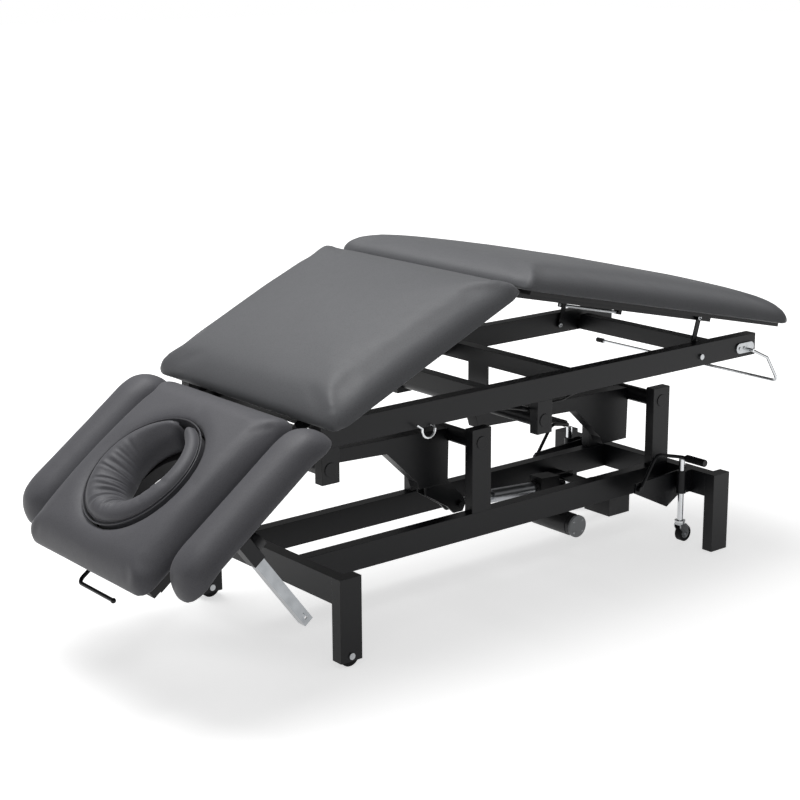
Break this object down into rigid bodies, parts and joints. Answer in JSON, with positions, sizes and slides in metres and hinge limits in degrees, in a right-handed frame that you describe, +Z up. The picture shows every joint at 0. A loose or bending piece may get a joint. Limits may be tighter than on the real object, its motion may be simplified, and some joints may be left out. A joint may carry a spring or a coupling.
{
  "type": "treatment table",
  "caption": "Height-adjustable treatment table: black steel base with lift arms, raised-centre cushions, tilting head section with face opening, armrests and retractable casters.",
  "frame": {"origin": "on the floor under the middle of the whole length and width", "axes": "+X from the head end to the foot end, +Y across, +Z up"},
  "size_m": [1.8325, 0.728, 0.8077],
  "materials": {
    "frame_steel": "satin black powder coat",
    "upholstery": "soft matte dark grey imitation leather",
    "board": "dark stained plywood",
    "chrome": "polished",
    "bright_steel": "zinc plated",
    "cap_grey": "cast, light grey",
    "black_plastic": "matte",
    "rubber": "matte"
  },
  "bodies": {
    "base": {"base_rails": "frame_steel", "base_crossbeams": "frame_steel", "head_posts": "frame_steel", "foot_posts": "frame_steel", "uprights": "frame_steel", "lift_pivot_pins": "frame_steel", "cross_plate": "frame_steel", "control_box": "black_plastic", "head_wheel_bolts": "bright_steel", "caster_sleeves": "frame_steel", "caster_brackets": "frame_steel", "motor_lead": "rubber"},
    "near_head_wheel": {"near_head_wheel": "rubber"},
    "far_head_wheel": {"far_head_wheel": "rubber"},
    "front_arm": {"front_arm": "frame_steel", "front_torque_tubes": "frame_steel"},
    "rear_arm": {"rear_arm": "frame_steel", "rear_torque_tubes": "frame_steel"},
    "actuator": {"gear_motor": "black_plastic", "motor_cap": "cap_grey", "drive_tube": "cap_grey"},
    "drive_rod": {"drive_rod": "bright_steel"},
    "upper_frame": {"upper_rails": "frame_steel", "upper_crossbars": "frame_steel", "rail_plugs": "black_plastic", "frame_tabs": "frame_steel", "tab_pins": "frame_steel", "frame_pins": "bright_steel", "cable_hook": "chrome", "roll_plate": "bright_steel", "lift_cable": "rubber"},
    "back_section": {"back_frame": "frame_steel", "back_panel": "board", "back_cushion": "upholstery"},
    "leg_section": {"leg_frame": "frame_steel", "leg_panel": "board", "leg_cushion": "upholstery", "release_rod": "bright_steel"},
    "swing_struts": {"swing_struts": "frame_steel"},
    "head_section": {"head_frame": "frame_steel", "head_panel": "board", "head_cushion": "upholstery", "face_ring": "upholstery", "rest_sleeves": "frame_steel"},
    "head_handle": {"head_handle": "frame_steel"},
    "near_armrest": {"near_armrest": "upholstery", "near_rest_tube": "chrome"},
    "near_rest_knob": {"near_rest_knob": "black_plastic"},
    "far_armrest": {"far_armrest": "upholstery", "far_rest_tube": "chrome"},
    "far_rest_knob": {"far_rest_knob": "black_plastic"},
    "near_lever": {"near_lever": "frame_steel"},
    "far_lever": {"far_lever": "frame_steel"},
    "near_caster_tube": {"near_caster_tube": "chrome"},
    "far_caster_tube": {"far_caster_tube": "chrome"},
    "near_fork": {"near_fork": "bright_steel"},
    "far_fork": {"far_fork": "bright_steel"},
    "near_caster_wheel": {"near_caster_wheel": "rubber"},
    "far_caster_wheel": {"far_caster_wheel": "rubber"},
    "roll_holder": {"roll_rod": "chrome"}
  },
  "joints": [
    {"name": "front_lift", "type": "hinge", "parent": "base", "child": "front_arm", "pos_m": [0.078, 0, 0.37], "axis": [0, 1, 0], "range_deg": [0, 50]},
    {"name": "rear_lift", "type": "hinge", "parent": "base", "child": "rear_arm", "pos_m": [0.688, 0, 0.37], "axis": [0, 1, 0], "range_deg": [0, 50]},
    {"name": "frame_level", "type": "hinge", "parent": "front_arm", "child": "upper_frame", "pos_m": [-0.465, 0, 0.441], "axis": [0, 1, 0], "range_deg": [-50, 0]},
    {"name": "actuator_tilt", "type": "hinge", "parent": "base", "child": "actuator", "pos_m": [0.456, 0, 0.165], "axis": [0, 1, 0], "range_deg": [0, 3]},
    {"name": "rod_slide", "type": "slide", "parent": "actuator", "child": "drive_rod", "axis": [-0.9979, 0, 0.0654], "range_m": [0, 0.16]},
    {"name": "centre_lift", "type": "hinge", "parent": "upper_frame", "child": "back_section", "pos_m": [-0.457, 0, 0.541], "axis": [0, 1, 0], "range_deg": [0, 23.94]},
    {"name": "leg_fold", "type": "hinge", "parent": "back_section", "child": "leg_section", "pos_m": [0.016, 0, 0.751], "axis": [0, 1, 0], "range_deg": [-36.5, 0]},
    {"name": "strut_swing", "type": "hinge", "parent": "leg_section", "child": "swing_struts", "pos_m": [0.698, 0, 0.6], "axis": [0, 1, 0], "range_deg": [0, 67]},
    {"name": "head_tilt", "type": "hinge", "parent": "back_section", "child": "head_section", "pos_m": [-0.457, 0, 0.541], "axis": [0, 1, 0], "range_deg": [-8, 13]},
    {"name": "handle_squeeze", "type": "hinge", "parent": "head_section", "child": "head_handle", "pos_m": [-0.82342, 0, 0.24047], "axis": [0, 1, 0], "range_deg": [0, 8]},
    {"name": "near_rest_slide", "type": "slide", "parent": "head_section", "child": "near_armrest", "axis": [-0.6018, 0, 0.7986], "range_m": [0, 0.15]},
    {"name": "near_knob_turn", "type": "hinge", "parent": "head_section", "child": "near_rest_knob", "pos_m": [-0.70222, -0.306, 0.32804], "axis": [0.7986, 0, 0.6018], "range_deg": [0, 270]},
    {"name": "near_head_wheel_spin", "type": "hinge", "parent": "base", "child": "near_head_wheel", "pos_m": [-0.432, -0.2705, 0.025], "axis": [0, 1, 0], "continuous": true},
    {"name": "near_caster_press", "type": "slide", "parent": "base", "child": "near_caster_tube", "axis": [0, 0, -1], "range_m": [0, 0.018]},
    {"name": "near_lever_turn", "type": "hinge", "parent": "base", "child": "near_lever", "pos_m": [0.552, -0.184, 0.176], "axis": [0, 1, 0], "range_deg": [0, 7.5]},
    {"name": "near_caster_swivel", "type": "hinge", "parent": "near_caster_tube", "child": "near_fork", "pos_m": [0.687, -0.203, 0.071], "axis": [0, 0, 1], "continuous": true},
    {"name": "near_caster_spin", "type": "hinge", "parent": "near_fork", "child": "near_caster_wheel", "pos_m": [0.699, -0.203, 0.035], "axis": [0, 1, 0], "continuous": true},
    {"name": "far_rest_slide", "type": "slide", "parent": "head_section", "child": "far_armrest", "axis": [-0.6018, 0, 0.7986], "range_m": [0, 0.15]},
    {"name": "far_knob_turn", "type": "hinge", "parent": "head_section", "child": "far_rest_knob", "pos_m": [-0.70222, 0.306, 0.32804], "axis": [0.7986, 0, 0.6018], "range_deg": [0, 270]},
    {"name": "far_head_wheel_spin", "type": "hinge", "parent": "base", "child": "far_head_wheel", "pos_m": [-0.432, 0.2705, 0.025], "axis": [0, 1, 0], "continuous": true},
    {"name": "far_caster_press", "type": "slide", "parent": "base", "child": "far_caster_tube", "axis": [0, 0, -1], "range_m": [0, 0.018]},
    {"name": "far_lever_turn", "type": "hinge", "parent": "base", "child": "far_lever", "pos_m": [0.552, 0.184, 0.176], "axis": [0, 1, 0], "range_deg": [0, 7.5]},
    {"name": "far_caster_swivel", "type": "hinge", "parent": "far_caster_tube", "child": "far_fork", "pos_m": [0.687, 0.203, 0.071], "axis": [0, 0, 1], "continuous": true},
    {"name": "far_caster_spin", "type": "hinge", "parent": "far_fork", "child": "far_caster_wheel", "pos_m": [0.699, 0.203, 0.035], "axis": [0, 1, 0], "continuous": true},
    {"name": "roll_fold", "type": "hinge", "parent": "upper_frame", "child": "roll_holder", "pos_m": [0.846, -0.272, 0.5045], "axis": [0, 1, 0], "range_deg": [0, 60]}
  ],
  "couplings": [
    {"joint": "rear_lift", "follows": "front_lift", "ratio": 1},
    {"joint": "frame_level", "follows": "front_lift", "ratio": -1},
    {"joint": "actuator_tilt", "follows": "front_lift", "ratio": 0.055},
    {"joint": "rod_slide", "follows": "front_lift", "m_per_rad": 0.1775},
    {"joint": "leg_fold", "follows": "centre_lift", "ratio": -1.5215},
    {"joint": "strut_swing", "follows": "centre_lift", "ratio": 2.7898},
    {"joint": "near_lever_turn", "follows": "near_caster_press", "rad_per_m": 7.1},
    {"joint": "far_lever_turn", "follows": "far_caster_press", "rad_per_m": 7.1}
  ]
}
